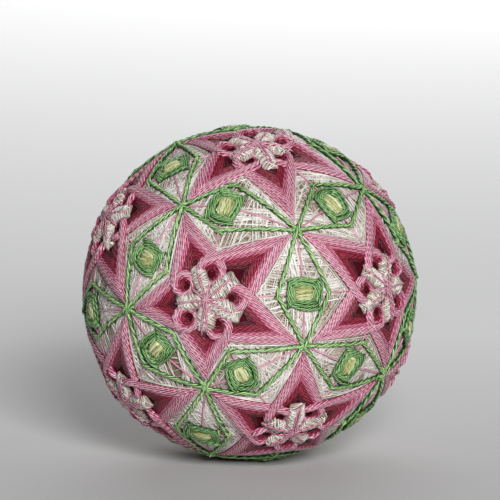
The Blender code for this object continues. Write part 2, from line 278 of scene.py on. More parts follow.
class Pile:
    """Threads and pads gathered for one mesh: points, quads, triangles, UVs, tones and slots."""

    def __init__(self):
        self.points = []
        self.tones = []
        self.count = 0
        self.quads = []
        self.quad_uvs = []
        self.quad_slots = []
        self.tris = []
        self.tri_slots = []

    def add_points(self, points, tone):
        """Append points of one tone, and return the number of the first."""
        first = self.count
        points = points.reshape(-1, 3)
        self.points.append(points)
        self.tones.append(np.full(len(points), tone, np.float32))
        self.count += len(points)
        return first

    def add_quads(self, quads, slot, uvs=None):
        """Append quads of one material, with UVs of zero unless they are given."""
        self.quads.append(quads)
        self.quad_uvs.append(np.zeros((len(quads), 4, 2)) if uvs is None else uvs)
        self.quad_slots.append(np.full(len(quads), slot))

    def add_tris(self, tris, slot):
        """Append triangles of one material."""
        self.tris.append(tris)
        self.tri_slots.append(np.full(len(tris), slot))

    def lay_tube(self, path, out, width, sides=6, closed=False, tone=0.5, slot=0, height=None, start=0.0):
        """A tube of thread along a path.

        Ring i is path_i + (width/2) cos(a) side_i + (height/2) sin(a) up_i, and the height is the
        width unless it is given. UV x goes once round, and UV y is the length along in centimetres.
        """
        count = len(path)
        side, up, run = path_frame(path, out, closed)
        angle = (np.arange(sides) / sides * TURN)[None, :, None]
        across = width / 2 * np.cos(angle) * side[:, None]
        upward = (width if height is None else height) / 2 * np.sin(angle) * up[:, None]
        first = self.add_points(path[:, None] + across + upward, tone)
        rows = count if closed else count - 1
        i = np.arange(rows)[:, None]
        k = np.arange(sides)[None, :]
        nxt = (k + 1) % sides
        here = first + i * sides
        there = first + (i + 1) % count * sides
        quads = np.stack([here + k, there + k, there + nxt, here + nxt], axis=-1)
        along = (run[:, None] + start) * UV_SCALE
        u0, u1, v0, v1 = np.broadcast_arrays(k / sides, (k + 1) / sides, along[:rows], along[1:rows + 1])
        uvs = np.stack([u0, v0, u0, v1, u1, v1, u1, v0], axis=-1)
        self.add_quads(quads.reshape(-1, 4), slot, uvs.reshape(-1, 4, 2))
        if not closed:
            ends = self.add_points(np.array([path[0], path[-1]]), tone)
            last = first + rows * sides
            k, nxt = k[0], nxt[0]
            head = np.stack([np.full(sides, ends), first + k, first + nxt], axis=1)
            tail = np.stack([np.full(sides, ends + 1), last + nxt, last + k], axis=1)
            self.add_tris(np.vstack([head, tail]), slot)

    def lay_plies(self, path, out, width, pitch, tone):
        """Two plies twisted round each other along a closed path.

        Ply p is path + PLY_OFFSET width (cos(t) side + sin(t) up), with t = turn * length / pitch
        + p pi, and the pitch is stretched to fit a whole number of turns.
        """
        side, up, run = path_frame(path, out, True)
        pitch = run[-1] / max(1, round(run[-1] / pitch))
        for ply in range(2):
            angle = (TURN * run[:-1] / pitch + ply * math.pi)[:, None]
            centre = path + width * PLY_OFFSET * (np.cos(angle) * side + np.sin(angle) * up)
            self.lay_tube(centre, out, width * PLY_WIDTH, 5, True, tone)

    def lay_pad(self, patch, outline, shares, heights, under, tone, slots):
        """A closed pad on the ball, of rings drawn in from an outline of plane points to its middle.

        Each ring is the outline times its share, at its height over the ball. The under side has
        the outline's ring and middle at the lower height. slots gives each band's material.
        """
        count = len(outline)
        levels = [over_ball(patch.directions(outline * share), height)
                  for share, height in zip((*shares, shares[0]), (*heights, under))]
        first = self.add_points(np.concatenate(levels), tone)
        middles = over_ball(patch.directions(np.zeros((2, 2))), np.array([np.mean(heights[-1]), under]))
        middle = self.add_points(middles, tone)
        k = np.arange(count)
        nxt = (k + 1) % count
        below = first + len(shares) * count
        innermost = below - count
        for band, outer in enumerate(range(first, innermost, count)):
            inner = outer + count
            self.add_quads(np.stack([outer + k, outer + nxt, inner + nxt, inner + k], axis=1), slots[band])
        self.add_quads(np.stack([below + k, below + nxt, first + nxt, first + k], axis=1), slots[0])
        self.add_tris(np.stack([innermost + k, innermost + nxt, np.full(count, middle)], axis=1), slots[-1])
        self.add_tris(np.stack([below + nxt, below + k, np.full(count, middle + 1)], axis=1), slots[-1])

    def make(self, name, materials, replaced):
        """Put the pile into a mesh that rides on the ball, pressed flat where it meets the surface.

        materials holds keys of THREADS and GROUNDS.
        """
        points = np.concatenate(self.points)
        points[:, 2] = np.maximum(points[:, 2], 0.0)
        quads = np.concatenate(self.quads)
        tris = np.concatenate(self.tris) if self.tris else np.zeros((0, 3), int)
        corners = np.concatenate([quads.ravel(), tris.ravel()])
        starts = np.concatenate([np.arange(len(quads)) * 4, quads.size + np.arange(len(tris)) * 3])
        slots = np.concatenate(self.quad_slots + self.tri_slots)
        uvs = np.concatenate([np.concatenate(self.quad_uvs).reshape(-1, 2), np.zeros((tris.size, 2))])
        mesh = bpy.data.meshes.new(name)
        mesh.vertices.add(len(points))
        mesh.vertices.foreach_set("co", points.astype(np.float32).ravel())
        mesh.loops.add(len(corners))
        mesh.loops.foreach_set("vertex_index", corners.astype(np.int32))
        mesh.polygons.add(len(starts))
        mesh.polygons.foreach_set("loop_start", starts.astype(np.int32))
        mesh.update(calc_edges=True)
        mesh.polygons.foreach_set("material_index", slots.astype(np.int32))
        mesh.uv_layers.new(name="thread").data.foreach_set("uv", uvs.astype(np.float32).ravel())
        tone = mesh.attributes.new("tone", "FLOAT", "POINT")
        tone.data.foreach_set("value", np.concatenate(self.tones))
        mesh.shade_smooth()
        mesh.validate()
        for key in materials:
            mesh.materials.append(material_of(key))
        piece = bpy.data.objects.new(name, mesh)
        bpy.context.scene.collection.objects.link(piece)
        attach(piece, "root")
        if replaced:
            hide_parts(*replaced)


# Materials

# Mercerised pearl cotton: soft gloss, two plies, a full turn each 2.9 mm. The shares say how much
# its twist (painted highlight streaks and painted groove shade), its fibres, the piece's tone and its
# flanks (painted shade) tell, and the peak is where it is lightest, at its painted highlight
PEARL = {"roughness": 0.36, "pitch": 2.9, "twist_depth": 1.0, "fibre_depth": 0.5,
         "shares": (0.5, 1.6, 0.4, 0.6), "peak": 0.8}
# The same cotton laid close, so that it shows as one soft surface
SOFT = {**PEARL, "twist_depth": 0.6, "shares": (0.25, 1.4, 0.6, 0.5), "peak": 0.8}
# Real plies are laid for the green lines, so their colours hold fibres and only a faint twist
PLY = {"roughness": 0.36, "pitch": 5.0, "twist_depth": 0.3, "fibre_depth": 0.5,
       "shares": (0.5, 1.7, 0.4, 0.9), "peak": 1.0}
# Fine matt sewing thread: its twist is too fine to show, so it is drawn as coarse as it has to
# be to show, as strokes about a millimetre long, and its strands differ in tone
FINE = {"roughness": 0.6, "pitch": 9.0, "twist_depth": 0.2, "fibre_depth": 0.4,
        "shares": (0.1, 2.3, 0.6, 0.45), "peak": 0.82}

THREADS = {
    # key: name; darkest colour, painted shade in grooves, flanks and low turns; middle colour, the
    # thread's own; lightest colour, painted highlight and the palest fibres; look
    "light_pink": ("pearl cotton light pink", "#882848", "#cc6487", "#ffd0de", PEARL),
    "rose": ("pearl cotton rose", "#701a38", "#b04266", "#f29cb6", PEARL),
    "raspberry": ("pearl cotton raspberry", "#430816", "#7a1228", "#b03a52", PEARL),
    "maroon": ("pearl cotton maroon", "#240410", "#480c1a", "#70222f", PEARL),
    "square_green": ("pearl cotton leaf green", "#1c4420", "#4a8040", "#b0dc94", PEARL),
    "yellow": ("pearl cotton pale yellow", "#75773a", "#bec37b", "#fcfdd4", SOFT),
    "green": ("pearl cotton green", "#1a401a", "#528a3e", "#cdeeaa", PLY),
    "cream": ("fine cream thread", "#6a4e38", "#cbbdac", "#fffefa", FINE),
    "white": ("fine white stitches", "#7a6655", "#d2c6b9", "#fffcf8", FINE),
    "marking": ("fine pink marking thread", "#a85a7a", "#d68fab", "#f2bcd0", FINE),
}

# What shows through the gaps between threads: the core or the layer under them, in their shade
GROUNDS = {
    # key: name, lighter and darker colour
    "ground": ("wound thread ground", "#b09680", "#755d4b"),
    "petal_ground": ("shaded white stitches", "#b8a99b", "#8d7c6e"),
    "square_ground": ("shaded green ground", "#2c4a22", "#15280f"),
    "yellow_ground": ("shaded yellow ground", "#b8b268", "#8c8844"),
    "hollow": ("shaded maroon ground", "#5c0c1e", "#2c040e"),
    "band_ground": ("shaded rose ground", "#862f48", "#561a2c"),
}

MATERIALS = {}

# How far a twisted thread's grooves lean as they go round it, and how narrow its streaks are: the
# streaks are painted highlights on the plies' crests, with painted shade in their grooves
GROOVE_LEAN = 2.5
PAINTED_STREAK_POWER = 2.5
# How often its fibres change across the twist and along the thread
FIBRE_SCALE = (1.3, 2.0, 1.0)
# The means of the painted highlight streaks and of the flanks' painted shade, taken off so that a
# usual thread is mid-tone
PAINTED_STREAK_MEAN = 0.46
PAINTED_FLANK_SHADE_MEAN = 0.2


def add_node(tree, kind, settings=None, **links):
    """Add a node, set its settings, and set or link its inputs, named with _ for a space or
    numbered after an i."""
    node = tree.nodes.new(kind)
    for key, value in (settings or {}).items():
        setattr(node, key, value)
    for key, value in links.items():
        number = key[1:]
        socket = node.inputs[int(number) if number.isdigit() else key.replace("_", " ")]
        if isinstance(value, bpy.types.NodeSocket):
            tree.links.new(value, socket)
        else:
            socket.default_value = value
    return node


def new_material(name):
    """A new material, its node tree and its shader."""
    material = bpy.data.materials.new(name)
    material.use_nodes = True
    return material, material.node_tree, material.node_tree.nodes["Principled BSDF"]


def thread_material(name, dark, middle, light, look):
    """Twisted thread: the plies' grooves and the fibres run along the piece's own UV.

    A two-ply thread shades as |sin(turn y / pitch + GROOVE_LEAN cos(turn x))|, with UV x once round
    and UV y the length along; this bends the normal, and is painted into the colour as well. Its
    flanks, where sin(turn x) is small, lie against the next thread and are painted darker, as painted
    shade. The groove to the power that sets how narrow the streaks are, the fibres, the flanks and the
    piece's tone are weighed into one share, so a ply shows as short bright streaks, a painted
    highlight, with painted shade in its grooves. The colour is the darkest, painted shade, at a share
    of 0, the middle one, the thread's own, at a half and the lightest, painted highlight, at the look's
    peak.
    """
    material, tree, shader = new_material(name)
    shader.inputs["Roughness"].default_value = look["roughness"]
    shader.inputs["IOR"].default_value = 1.5
    uv = add_node(tree, "ShaderNodeUVMap", {"uv_map": "thread"})
    split = add_node(tree, "ShaderNodeSeparateXYZ", Vector=uv.outputs["UV"])
    round_angle = add_node(tree, "ShaderNodeMath", {"operation": "MULTIPLY"}, i0=split.outputs["X"], i1=TURN)
    sideways = add_node(tree, "ShaderNodeMath", {"operation": "COSINE"}, i0=round_angle.outputs[0])
    upward = add_node(tree, "ShaderNodeMath", {"operation": "SINE"}, i0=round_angle.outputs[0])
    lean = add_node(tree, "ShaderNodeMath", {"operation": "MULTIPLY"}, i0=sideways.outputs[0], i1=GROOVE_LEAN)
    turned = add_node(tree, "ShaderNodeMath", {"operation": "MULTIPLY_ADD"},
                      i0=split.outputs["Y"], i1=10 * TURN / look["pitch"], i2=lean.outputs[0])
    wave = add_node(tree, "ShaderNodeMath", {"operation": "SINE"}, i0=turned.outputs[0])
    groove = add_node(tree, "ShaderNodeMath", {"operation": "ABSOLUTE"}, i0=wave.outputs[0])
    # The streaks: the twist painted into the colour, a painted highlight on each ply's crest and painted
    # shade in the grooves between the plies
    painted_streak = add_node(tree, "ShaderNodeMath", {"operation": "POWER"}, i0=groove.outputs[0], i1=PAINTED_STREAK_POWER)
    strands = add_node(tree, "ShaderNodeCombineXYZ", X=turned.outputs[0], Y=split.outputs["Y"])
    spread = add_node(tree, "ShaderNodeMapping", Vector=strands.outputs[0], Scale=FIBRE_SCALE)
    fibres = add_node(tree, "ShaderNodeTexNoise", Vector=spread.outputs[0], Scale=1.0, Detail=2.0)
    tone = add_node(tree, "ShaderNodeAttribute", {"attribute_name": "tone"})
    # The flanks, where a thread lies against the next one, are painted darker: painted shade
    flank = add_node(tree, "ShaderNodeMapRange", Value=upward.outputs[0], From_Min=-0.1, From_Max=0.8,
                     To_Min=-1.0, To_Max=0.0)
    # The shares weigh the twist's painted highlight and groove shade, the fibres, the piece's tone and the
    # flanks' painted shade
    painted_streak_share, fibre_share, tone_share, painted_flank_shade_share = look["shares"]
    rest = (1 - fibre_share - tone_share) / 2 - PAINTED_STREAK_MEAN * painted_streak_share + PAINTED_FLANK_SHADE_MEAN * painted_flank_shade_share
    share = add_node(tree, "ShaderNodeMath", {"operation": "MULTIPLY_ADD"},
                     i0=tone.outputs["Fac"], i1=tone_share, i2=rest)
    for part, weight in ((flank.outputs[0], painted_flank_shade_share), (fibres.outputs["Fac"], fibre_share),
                         (painted_streak.outputs[0], painted_streak_share)):
        share = add_node(tree, "ShaderNodeMath", {"operation": "MULTIPLY_ADD"},
                         i0=part, i1=weight, i2=share.outputs[0])
    share.use_clamp = True
    # The ramp: the darkest colour is painted shade, the middle one the thread's own colour, and the lightest
    # a painted highlight
    ramp = add_node(tree, "ShaderNodeValToRGB", Fac=share.outputs[0])
    first, last = ramp.color_ramp.elements
    first.color = (*srgb(dark), 1)
    last.color = (*srgb(light), 1)
    last.position = look["peak"]
    ramp.color_ramp.elements.new(0.5).color = (*srgb(middle), 1)
    tree.links.new(ramp.outputs["Color"], shader.inputs["Base Color"])
    twist_bump = add_node(tree, "ShaderNodeBump", Height=groove.outputs[0], Strength=look["twist_depth"],
                          Distance=0.2 * MM)
    fibre_bump = add_node(tree, "ShaderNodeBump", Height=fibres.outputs["Fac"], Strength=look["fibre_depth"],
                          Distance=0.08 * MM, Normal=twist_bump.outputs[0])
    tree.links.new(fibre_bump.outputs[0], shader.inputs["Normal"])
    return material


def ground_material(name, light, dark):
    """Matt, mottled thread in the shade of what lies over it."""
    material, tree, shader = new_material(name)
    shader.inputs["Roughness"].default_value = 0.9
    shader.inputs["Specular IOR Level"].default_value = 0.1
    place = add_node(tree, "ShaderNodeTexCoord")
    mottle = add_node(tree, "ShaderNodeTexNoise", Vector=place.outputs["Object"], Scale=900.0, Detail=3.0)
    colour = add_node(tree, "ShaderNodeMix", {"data_type": "RGBA"}, i0=mottle.outputs["Fac"],
                      i6=(*srgb(dark), 1), i7=(*srgb(light), 1))
    tree.links.new(colour.outputs[2], shader.inputs["Base Color"])
    bump = add_node(tree, "ShaderNodeBump", Height=mottle.outputs["Fac"], Strength=0.5, Distance=0.1 * MM)
    tree.links.new(bump.outputs[0], shader.inputs["Normal"])
    return material


def material_of(key):
    """The material of a thread or a ground, made when it is first asked for."""
    if key not in MATERIALS:
        if key in THREADS:
            MATERIALS[key] = thread_material(*THREADS[key])
        else:
            MATERIALS[key] = ground_material(*GROUNDS[key])
    return MATERIALS[key]


# Sizes and colours that a user would change


def length(name, description, millimetres):
    """A setting that is a length."""
    return FloatProperty(name=name, description=description, default=millimetres * MM, unit="LENGTH")


def power(name, description, watts):
    """A setting that is a light's power."""
    return FloatProperty(name=name, description=description, default=watts, unit="POWER")


def shade(name, description, code):
    """A setting that is a colour."""
    return FloatVectorProperty(name=name, description=description, subtype="COLOR", default=srgb(code))


class TemariBallProperties(bpy.types.PropertyGroup):
    """The wound ball."""

    wraps: IntProperty(name="Wraps", description="Turns of fine thread round the ball", default=500, min=50)
    last_wraps: IntProperty(name="Last wraps", description="Turns that lie on top of the others",
                            default=380, min=10)
    wrap_width: length("Wrap width", "Width of the fine thread", 0.4)
    mark_width: length("Marking width", "Width of the pink marking thread", 0.42)


class TemariStarProperties(bpy.types.PropertyGroup):
    """The stars."""

    thread_width: length("Thread width", "Width of a pink row", 0.7)
    tip_share: FloatProperty(name="Tip share", description="Tip's share of the way to the crossing",
                             default=0.92)
    eye_reach: length("Eye reach", "Distance from the star's middle to an eye", 5.5)
    loop_scale: FloatProperty(name="Loop size", description="How much wider than usual the loops are",
                              default=1.0)
    stitch: length("Tip stitch", "How far a row runs past its point before it turns", 0.6)


class TemariFlowerProperties(bpy.types.PropertyGroup):
    """The flowers."""

    petal_length: length("Petal length", "From the middle to a petal's end", 8.1)
    petal_width: length("Petal width", "Width of a petal", 4.0)
    stitch_pitch: length("Stitch pitch", "Distance between cream stitches", 0.38)
    short_stitches: IntProperty(name="Short stitches", description="Short stitches over each petal",
                                default=22, min=0)
    stitch_width: length("Stitch width", "Width of a cream stitch", 0.33)
    spoke_width: length("Spoke width", "Width of a pink spoke thread", 0.56)


class TemariGreenProperties(bpy.types.PropertyGroup):
    """The green diamonds."""

    thread_width: length("Thread width", "Width of the two-ply thread", 1.1)
    pitch: length("Twist pitch", "Length of one full turn of the plies", 3.8)
    corner_arc: FloatProperty(name="Corner arc", description="From a diamond's middle to its blunt corner",
                              default=9.4 * DEG, subtype="ANGLE")
    overshoot: length("Overshoot", "How far threads run past a crossing", 1.15)


class TemariSquareProperties(bpy.types.PropertyGroup):
    """The squares."""

    half_long: length("Half length", "Half the square along the diamond", 3.1)
    half_wide: length("Half width", "Half the square across the diamond", 3.75)
    thread_width: length("Thread width", "Width of a green row", 0.7)
    rows: IntProperty(name="Rows", description="Green rows on each side", default=4, min=2)
    bow: length("Bow", "How far a side's middle bulges outwards", 0.62)
    chase: FloatProperty(name="Chase", description="How much each side drifts outwards along its length",
                         default=0.09)


class TemariStageProperties(bpy.types.PropertyGroup):
    """The floor and lights."""

    floor_colour: shade("Floor", "Colour of the floor before the ball", "#d2d2d2")
    # The floor's far colour is paler than its near one: painted light behind the ball
    painted_light_far_colour: shade("Far floor", "Colour of the floor behind the ball", "#f6f6f6")
    key_power: power("Key light", "Power of the soft light in front and above", 11.4)
    back_power: power("Background light", "Power of the soft light behind the ball", 4.9)
    fill_power: power("Fill light", "Power of the faint light on the far side", 3.0)
    room_light: FloatProperty(name="Room light", description="Strength of the even light all round",
                              default=0.06)


# The wound ball

CORE_RINGS = 24
CORE_SPOKES = 48
CORE_DEPTH = 0.25 * MM
WRAP_POINTS = 38
# The first and last height, in mm, and the first and last tone of the turns of each layer: the low
# turns are painted darker, as painted shade, and the last ones lighter, as painted light
UNDER_TURNS = {"heights": (-0.18, -0.02), "tones": (0.0, 0.38)}
LAST_TURNS = {"heights": (0.0, 0.16), "tones": (0.55, 0.9)}
# The marking threads' height, and how much of their way from a square they go
MARK_LIFT = 0.3 * MM
TO_CROSSING = 0.98
TO_STAR = 0.62


def wound_bundle(rng, strands, apart):
    """Turns of thread that lie side by side: circles about nearly one axis, each apart from the last.

    Circle k is sqrt(1 - w^2) (cos(a) across + sin(a) other) + w axis, where w is its distance from
    the middle plane over the radius, and waves a little along its length.
    """
    axis = unit(rng.normal(size=3))
    off = rng.uniform(-0.35, 0.35)
    bundle = []
    for _ in range(strands):
        leaning = unit(axis + rng.normal(size=3) * 0.012)
        across = unit(np.cross(leaning, unit(rng.normal(size=3))))
        other = np.cross(leaning, across)
        angle = (np.arange(WRAP_POINTS) + rng.random()) / WRAP_POINTS * TURN
        wave = off + rng.uniform(-0.006, 0.006) * np.sin(angle * 3 + rng.random() * TURN)
        flat = np.sqrt(1 - wave ** 2)[:, None]
        ring = np.cos(angle)[:, None] * across + np.sin(angle)[:, None] * other
        bundle.append(unit(flat * ring + wave[:, None] * leaning))
        off += rng.uniform(0.6, 1.6) * apart / BALL_RADIUS
    return bundle


def lay_wraps(pile, rng, width, turns, heights, tones):
    """Turns laid in bundles of five to nine: the first lie low and are painted darker, as painted shade,
    and the last are painted lighter, as painted light.
    """
    laid = 0
    while laid < turns:
        layer = laid / turns
        strands = int(rng.integers(5, 10))
        for directions in wound_bundle(rng, strands, width * 1.1):
            height = heights[0] + (heights[1] - heights[0]) * layer + rng.uniform(-0.04, 0.04)
            # The tone grows with the layer, painted shade low down and painted light on top, and differs at
            # random from turn to turn
            tone = tones[0] + (tones[1] - tones[0]) * layer + rng.uniform(-0.35, 0.3)
            pile.lay_tube(over_ball(directions, height * MM), directions, width * rng.uniform(0.8, 1.2),
                          3, True, tone, height=width * 0.8)
        laid += strands


def build_ball(settings):
    """The wound ball: a mottled core under many turns of fine thread, each a three-sided tube.

    The core is radius * (sin(lat) cos(lon), sin(lat) sin(lon), cos(lat)), with its poles closed.
    """
    pile = Pile()
    lat = np.linspace(0, math.pi, CORE_RINGS + 2)[1:-1, None]
    lon = np.arange(CORE_SPOKES) / CORE_SPOKES * TURN
    core = np.stack([np.sin(lat) * np.cos(lon), np.sin(lat) * np.sin(lon),
                     np.cos(lat) * np.ones(CORE_SPOKES)], axis=-1)
    first = pile.add_points(over_ball(core.reshape(-1, 3), -CORE_DEPTH), 0.5)
    poles = pile.add_points(over_ball(np.array([[0, 0, 1], [0, 0, -1]]), -CORE_DEPTH), 0.5)
    here = first + np.arange(CORE_RINGS - 1)[:, None] * CORE_SPOKES
    there = here + CORE_SPOKES
    k = np.arange(CORE_SPOKES)
    nxt = (k + 1) % CORE_SPOKES
    quads = np.stack([here + k, there + k, there + nxt, here + nxt], axis=-1)
    pile.add_quads(quads.reshape(-1, 4), 1)
    last = first + (CORE_RINGS - 1) * CORE_SPOKES
    pile.add_tris(np.stack([np.full(CORE_SPOKES, poles), first + k, first + nxt], axis=1), 1)
    pile.add_tris(np.stack([np.full(CORE_SPOKES, poles + 1), last + nxt, last + k], axis=1), 1)
    rng = np.random.default_rng(11)
    lay_wraps(pile, rng, settings.wrap_width, settings.wraps, **UNDER_TURNS)
    pile.make("wound_ball", ["cream", "ground"], ["thread_ball"])
    top = Pile()
    lay_wraps(top, rng, settings.wrap_width, settings.last_wraps, **LAST_TURNS)
    top.make("last_turns", ["cream"], ())


def build_marking(settings):
    """The thin pink threads that mark the division, from star to square and from crossing to square."""
    pile = Pile()
    rng = np.random.default_rng(23)
    for number in range(30):
        crossings, stars = diamond_layout(number)
        middle = MARKS["square"][number]
        ends = [(MARKS["crossing"][k], TO_CROSSING) for k in crossings]
        ends += [(MARKS["star"][k], TO_STAR) for k in stars]
        for end, share in ends:
            steps = np.linspace(0, arc_between(middle, end) * share, 10)
            directions = np.array([along_arc(middle, end, s) for s in steps])
            bow = rng.uniform(-0.15, 0.15) * MM / BALL_RADIUS * np.sin(steps / steps[-1] * math.pi)
            directions = unit(directions + bow[:, None] * unit(np.cross(middle, end)))
            pile.lay_tube(over_ball(directions, MARK_LIFT), directions, settings.mark_width, 5, False,
                          rng.uniform(0.3, 0.7))
    pile.make("marking_threads", ["marking"], ())


# The stars

STAR_THREADS = ("cream", "light_pink", "rose", "raspberry", "maroon", "hollow", "band_ground")

STAR_ROWS = (
    # thread, how far its points stand back from the tip, radius round the eye, then its height at
    # the tip, over the crossing, beside the eye, under the petals and under the crossing: all mm
    ("cream", -1.4, 3.50, 0.20, 0.28, 0.04, -0.06, 0.14),
    ("cream", -1.5, 3.05, 0.24, 0.32, 0.04, -0.06, 0.18),
    ("light_pink", 0.0, 2.78, 0.42, 1.10, 1.20, 0.60, 0.55),
    ("light_pink", 2.0, 2.58, 0.50, 1.35, 1.62, 0.66, 0.65),
    ("light_pink", 3.9, 2.36, 0.55, 1.50, 1.85, 0.70, 0.75),
    ("light_pink", 5.6, 2.14, 0.58, 1.55, 1.82, 0.72, 0.80),
    ("rose", 7.1, 1.94, 0.55, 1.45, 1.60, 0.68, 0.75),
    ("rose", 8.5, 1.76, 0.46, 1.18, 1.28, 0.60, 0.62),
    ("raspberry", 9.8, 1.56, 0.36, 0.86, 0.92, 0.52, 0.50),
    ("raspberry", 11.0, 1.42, 0.34, 0.62, 0.66, 0.46, 0.46),
    ("raspberry", 12.2, 1.30, 0.34, 0.50, 0.50, 0.42, 0.44),
    ("raspberry", 13.3, 1.20, 0.36, 0.46, 0.44, 0.40, 0.42),
    ("maroon", 14.4, 1.12, 0.36, 0.42, 0.40, 0.38, 0.40),
    ("maroon", 15.4, 1.05, 0.36, 0.40, 0.38, 0.36, 0.38),
)

# How long a usual star's point is, which its rows' places in STAR_ROWS are given for
USUAL_POINT = 24.8 * MM
# A row's points lie this far apart where it is straight, and turn by this much where it bends
ROW_STEP = 0.4 * MM
ROW_POINT_STEP = 1.9 * MM
ROW_BEND = 0.5
LOOP_POINTS = 24
# The pad under the rows: its height, its under side, its rings, and how far it stops short of a tip
PAD_HEIGHT = 0.46 * MM
PAD_UNDER = 0.05 * MM
PAD_SHARES = (1.0, 0.9, 0.8, 0.7, 0.6, 0.5, 0.4, 0.3, 0.2, 0.1)
# The pad's outer rings take the shaded rose ground under the bands, the rest the shaded maroon ground of the
# hollow: thread colours darkened as painted shade of the rows over them
PAD_SLOTS = (STAR_THREADS.index("band_ground"),) * 3 + (STAR_THREADS.index("hollow"),) * 7
PAD_INSET = 1.6 * MM
NOTCH_PAST_EYE = 3.5 * MM


def tangent_point(start, eye, radius, side):
    """Where the line from start touches the circle about eye, on the side given by +1 or -1.

    The line leaves start at the eye's bearing turned by side times asin(radius / distance),
    and is sqrt(distance^2 - radius^2) long.
    """
    gap = eye - start
    distance = np.linalg.norm(gap)
    bearing = math.atan2(gap[1], gap[0]) + side * math.asin(min(0.99, radius / distance))
    reach = math.sqrt(distance ** 2 - radius ** 2)
    return start + reach * np.array([math.cos(bearing), math.sin(bearing)])


def star_row(tips, eyes, reach, radius, stitch, heights):
    """One closed row of a star: from each tip straight to the far side of the next eye's circle,
    round the eye, and straight out to the next tip, where it crosses itself in a small stitch.

    heights holds the row's height at a tip, over the crossing, beside the eye, on the eye's side
    towards the flower, and under the crossing.
    """
    at_tip, over, beside, deep, under = heights
    leaving = (under + beside) / 2
    low = deep + 0.1 * MM
    share = np.linspace(0, 1, LOOP_POINTS)
    rise = np.interp(share, [0, 0.1, 0.26, 0.5, 0.74, 0.9, 1],
                     [over, beside, low, deep, low, beside, leaving])
    stretches = []
    for k, eye in enumerate(eyes):
        start = tips[k] * reach[k]
        end = tips[(k + 1) % 5] * reach[(k + 1) % 5]
        arrive = tangent_point(start, eye, radius[k], -1)
        leave = tangent_point(end, eye, radius[k], 1)
        inward = unit(arrive - start)
        outward = unit(end - leave)
        begin = math.atan2(*(arrive - eye)[::-1])
        sweep = (math.atan2(*(leave - eye)[::-1]) - begin) % TURN
        angle = begin + share * sweep
        loop = eye + radius[k] * np.stack([np.cos(angle), np.sin(angle)], axis=1)
        way_in = [(start - inward * stitch, at_tip - 0.12 * MM),
                  (start + (arrive - start) * 0.55, at_tip),
                  (arrive, over)]
        way_out = [(leave, leaving),
                   (leave + outward * radius[k] * 0.9, under),
                   (end + outward * stitch, at_tip + 0.12 * MM)]
        stretches += [line_through(way_in, ROW_STEP)[:-1], np.column_stack([loop, rise])[:-1],
                      line_through(way_out, ROW_STEP)]
    return np.concatenate(stretches)


def build_star(number, settings):
    """One star: nested pink and raspberry rows over a dark pad of painted shade, and two fine cream rows."""
    patch, tip_numbers, notch_numbers = star_layout(number)
    rng = np.random.default_rng(100 + number)
    tips = [unit(patch.plane(MARKS["crossing"][k])) for k in tip_numbers]
    full = []
    for k in tip_numbers:
        arc = arc_between(patch.middle, MARKS["crossing"][k])
        full.append(math.tan(arc * (settings.tip_share + rng.uniform(-0.05, 0.01))) * BALL_RADIUS)
    notch_ways = [unit(patch.plane(MARKS["square"][k])) for k in notch_numbers]
    eyes = [way * settings.eye_reach * rng.uniform(0.94, 1.06) for way in notch_ways]
    loose = [rng.uniform(0.92, 1.15) for _ in range(5)]
    crowding = [rng.uniform(0.8, 1.06) * point / USUAL_POINT for point in full]
    share = (np.arange(5) / 5)[:, None]
    outline = []
    for k in range(5):
        notch = notch_ways[k] * (settings.eye_reach + NOTCH_PAST_EYE)
        point, next_point = (tips[j] * (full[j] - PAD_INSET) for j in (k, (k + 1) % 5))
        outline += [point + (notch - point) * share, notch + (next_point - notch) * share]
    pile = Pile()
    pile.lay_pad(patch, np.concatenate(outline) * 0.96, PAD_SHARES, [PAD_HEIGHT] * len(PAD_SHARES),
                 PAD_UNDER, 0.5, PAD_SLOTS)
    for thread, back, radius, *heights in STAR_ROWS:
        cream = thread == "cream"
        sides = 4 if cream else 6
        stray = 3.5 if cream else 1.0
        tone = rng.uniform(0.3, 0.85) if cream else rng.uniform(0.25, 0.75)
        width = settings.thread_width * (0.5 if cream else 1.0) * rng.uniform(0.94, 1.05)
        reach = [full[k] - (back * crowding[k] + rng.uniform(-0.12, 0.12) * stray) * MM for k in range(5)]
        radii = [(radius * slack + rng.uniform(-0.09, 0.09) * stray) * settings.loop_scale * MM
                 for slack in loose]
        apart = 0.6 * (radius - 1.2) * MM
        centres = [eye + way * apart + rng.uniform(-0.14, 0.14, 2) * MM for eye, way in zip(eyes, notch_ways)]
        lifts = (np.array(heights) + rng.uniform(-0.05, 0.05, 5)) * MM
        row = star_row(tips, centres, reach, radii, settings.stitch, lifts)
        path = eased_loop(row, ROW_POINT_STEP, ROW_BEND)
        directions = patch.directions(path[:, :2])
        pile.lay_tube(over_ball(directions, path[:, 2]), directions, width, sides, True, tone,
                      STAR_THREADS.index(thread), start=rng.uniform(0, 4) * MM)
    pile.make(f"star_threads_{number + 1:02d}", STAR_THREADS, [f"star_{number + 1:02d}"])


# The flowers

# A petal's stitches: their height at its edge, how far it is domed, and how the dome falls at its end
PETAL_EDGE = 1.05 * MM
PETAL_DOME = 0.68 * MM
PETAL_UNDER = 0.85 * MM
SHORT_STITCH_LIFT = 0.14 * MM
# The spokes meet over the petals, and those towards the notches are short
CROWN = PETAL_EDGE + PETAL_DOME + 0.22 * MM
SHORT_SPOKE = 4.6 * MM
TWIN_CHANCE = 0.35


def turned_to(way):
    """The matrix that turns plane points, as rows, from along X to along a way."""
    return np.array([way, [-way[1], way[0]]])


def petal_width(along, half):
    """Half the width of a petal at its share along: narrow at the middle, widest near its blunt end."""
    return half * np.interp(along, [0, 0.2, 0.42, 0.8, 1.0], [0.32, 0.74, 1.05, 1.0, 0.84])


